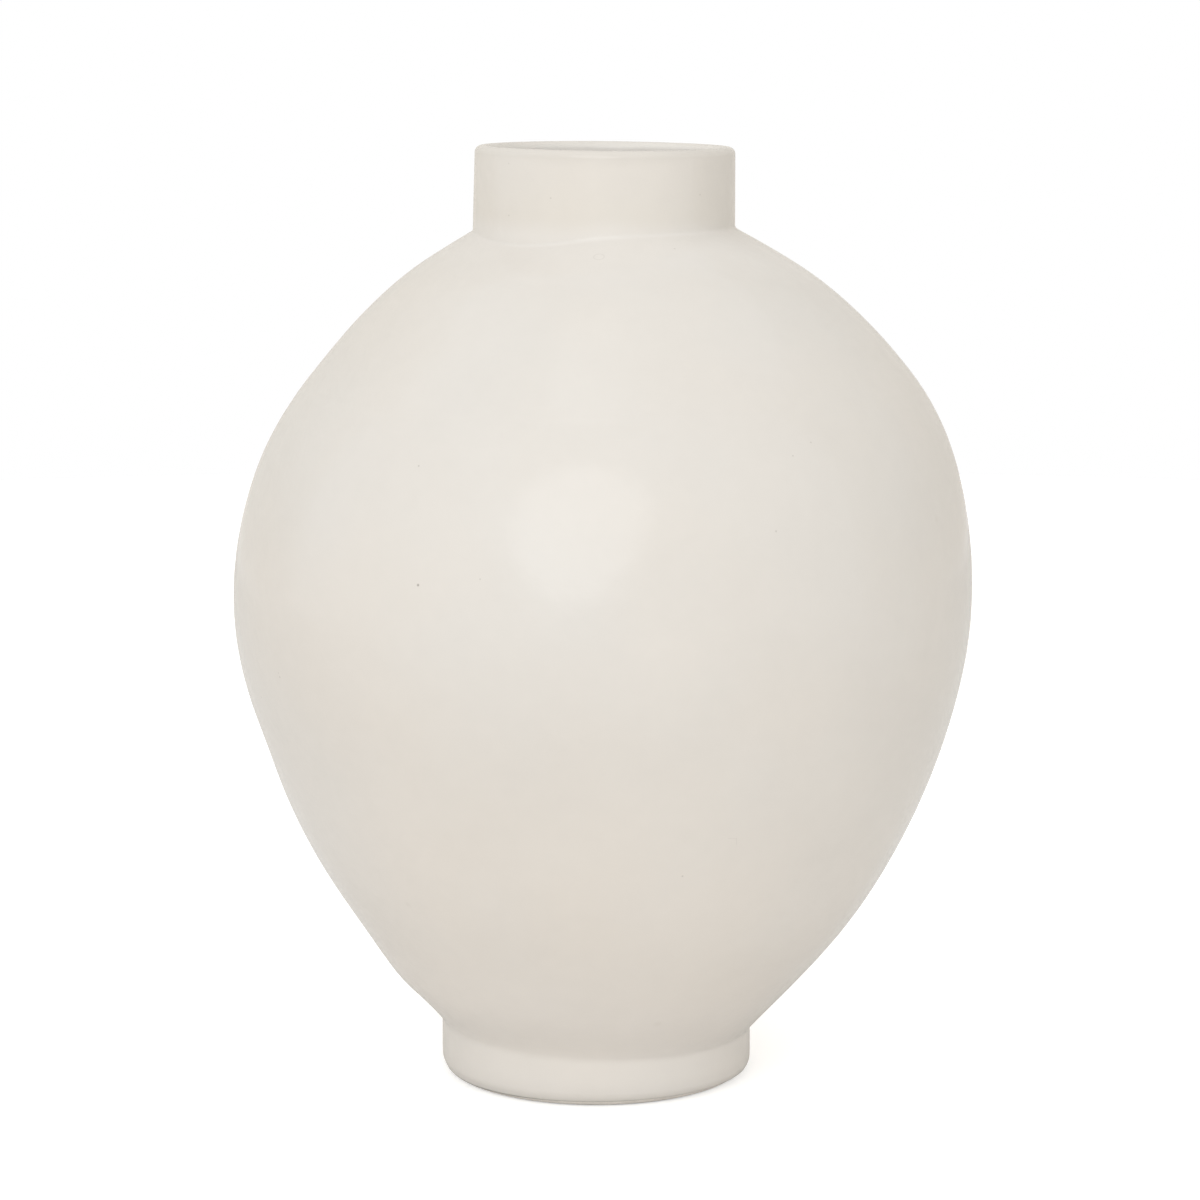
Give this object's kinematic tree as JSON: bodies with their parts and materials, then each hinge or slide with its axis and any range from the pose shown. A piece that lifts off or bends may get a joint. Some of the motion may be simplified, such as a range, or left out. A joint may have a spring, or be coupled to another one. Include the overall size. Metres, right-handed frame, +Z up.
{
  "type": "korean moon jar",
  "caption": "Large white porcelain moon jar: two thrown bowls luted at the shoulder, a foot ring, a short upright collar with a round lip, and a clear warm-white glaze.",
  "frame": {"origin": "centre of the jar's box on the ground, under the belly axis", "axes": "+Z up through the mouth, -Y towards the pictured side, +X to its right"},
  "size_m": [0.3546, 0.3546, 0.45],
  "materials": {
    "porcelain_body": "matte",
    "joint_slip": "matte",
    "clear_glaze": "satin gloss"
  },
  "bodies": {
    "root": {"foot_ring": "porcelain_body", "lower_bowl": "porcelain_body", "upper_bowl": "porcelain_body", "neck_collar": "porcelain_body", "foot_joint_slip": "joint_slip", "shoulder_joint_slip": "joint_slip", "neck_joint_slip": "joint_slip", "glaze_coat": "clear_glaze", "foot_recess_glaze": "clear_glaze"}
  },
  "joints": []
}
